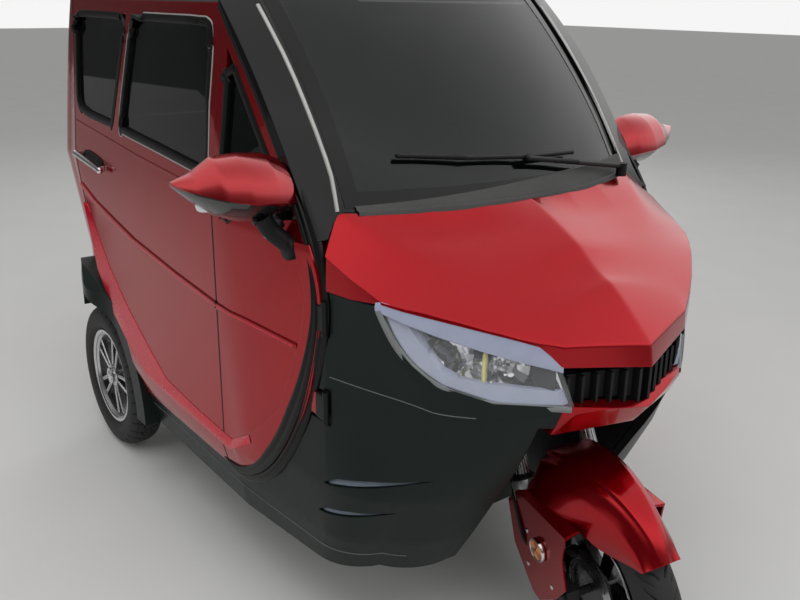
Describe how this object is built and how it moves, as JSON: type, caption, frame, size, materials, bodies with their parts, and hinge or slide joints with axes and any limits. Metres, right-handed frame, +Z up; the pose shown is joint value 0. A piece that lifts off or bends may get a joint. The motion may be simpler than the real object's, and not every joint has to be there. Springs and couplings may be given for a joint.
{
  "type": "closed-cabin electric three-wheeler",
  "caption": "Closed-cabin electric three-wheeled car with one steered front wheel on a fork, two rear wheels, hinged side doors and a boot lid.",
  "frame": {"origin": "on the ground under the middle of the vehicle's box", "axes": "+X forward, +Y to the vehicle's left, +Z up"},
  "size_m": [2.2632, 1.482, 1.65],
  "materials": {
    "black_steel": "black painted steel",
    "black_plastic": "black plastic",
    "dark_plastic": "dark grey plastic",
    "seat_leather": "black seat cover",
    "black_gloss": "gloss black",
    "candy_red": "metallic candy red",
    "tinted_glass": "dark tinted glass",
    "cladding_grey": "dark charcoal cladding",
    "bright_steel": "bright fork tubes",
    "fork_alloy": "dark fork castings",
    "amber_plastic": "amber reflector",
    "tyre_rubber": "tyre rubber",
    "black_alloy": "black alloy wheel",
    "lamp_chrome": "lamp reflectors",
    "clear_lens": "clear lamp lens",
    "lamp_guide": "pale lamp light guide",
    "red_lens": "red lamp lens",
    "chrome": "bright chrome",
    "machined_alloy": "machined alloy wheel"
  },
  "bodies": {
    "root": {"chassis_frame": "black_steel", "floor_tray": "black_plastic", "seat_box": "dark_plastic", "battery_pack": "black_steel", "driver_seat": "seat_leather", "rear_bench": "seat_leather", "dashboard": "dark_plastic", "rear_axle": "black_steel", "rear_springs": "black_steel", "rear_wells": "black_plastic", "front_well": "black_plastic", "leg_shield": "dark_plastic", "cab_frame": "black_gloss", "roof_panel": "candy_red", "windscreen": "tinted_glass", "cowl_trim": "cladding_grey", "wiper": "black_plastic", "bonnet": "candy_red", "grille": "black_plastic", "bumper_lip": "candy_red", "rear_body": "candy_red", "rear_window": "tinted_glass", "rear_bumper": "cladding_grey", "side_cladding_left": "cladding_grey", "side_cladding_right": "cladding_grey", "front_cladding_left": "cladding_grey", "front_cladding_right": "cladding_grey", "headlamp_left": "lamp_chrome", "headlamp_right": "lamp_chrome", "headlamp_lens_left": "clear_lens", "headlamp_lens_right": "clear_lens", "lamp_light_left": "lamp_guide", "lamp_light_right": "lamp_guide", "tail_lamp_left": "red_lens", "tail_lamp_right": "red_lens"},
    "steering": {"fork_upper": "bright_steel", "fork_lowers": "fork_alloy", "front_fender": "candy_red", "handlebar": "black_steel", "front_reflectors": "amber_plastic"},
    "front_wheel": {"front_tyre": "tyre_rubber", "front_rim": "black_alloy"},
    "boot": {"boot_lid": "candy_red"},
    "door_left": {"door_main_left": "candy_red", "door_front_left": "candy_red", "door_glass_left": "tinted_glass", "door_handle_left": "chrome", "mirror_left": "candy_red"},
    "rear_wheel_left": {"rear_tyre_left": "tyre_rubber", "rear_rim_left": "machined_alloy"},
    "door_right": {"door_main_right": "candy_red", "door_front_right": "candy_red", "door_glass_right": "tinted_glass", "door_handle_right": "chrome", "mirror_right": "candy_red"},
    "rear_wheel_right": {"rear_tyre_right": "tyre_rubber", "rear_rim_right": "machined_alloy"}
  },
  "joints": [
    {"name": "steering_turn", "type": "hinge", "parent": "root", "child": "steering", "pos_m": [0.7215, 0, 0.5], "axis": [-0.4147, 0, 0.91], "range_deg": [-22.3, 53.7]},
    {"name": "front_wheel_spin", "type": "hinge", "parent": "steering", "child": "front_wheel", "pos_m": [0.90009, -0.01524, 0.23883], "axis": [0.2462, 0.9627, 0.1122], "continuous": true},
    {"name": "boot_hinge", "type": "hinge", "parent": "root", "child": "boot", "pos_m": [-1.124, 0, 1.0566], "axis": [0, 1, 0], "range_deg": [0, 75]},
    {"name": "rear_wheel_left_spin", "type": "hinge", "parent": "root", "child": "rear_wheel_left", "pos_m": [-0.823, 0.465, 0.24], "axis": [0, 1, 0], "continuous": true},
    {"name": "door_left_hinge", "type": "hinge", "parent": "root", "child": "door_left", "pos_m": [0.536, 0.506, 0.7], "axis": [0, 0, -1], "range_deg": [0, 65]},
    {"name": "rear_wheel_right_spin", "type": "hinge", "parent": "root", "child": "rear_wheel_right", "pos_m": [-0.823, -0.465, 0.24], "axis": [0, 1, 0], "continuous": true},
    {"name": "door_right_hinge", "type": "hinge", "parent": "root", "child": "door_right", "pos_m": [0.536, -0.506, 0.7], "axis": [0, 0, 1], "range_deg": [0, 65]}
  ]
}
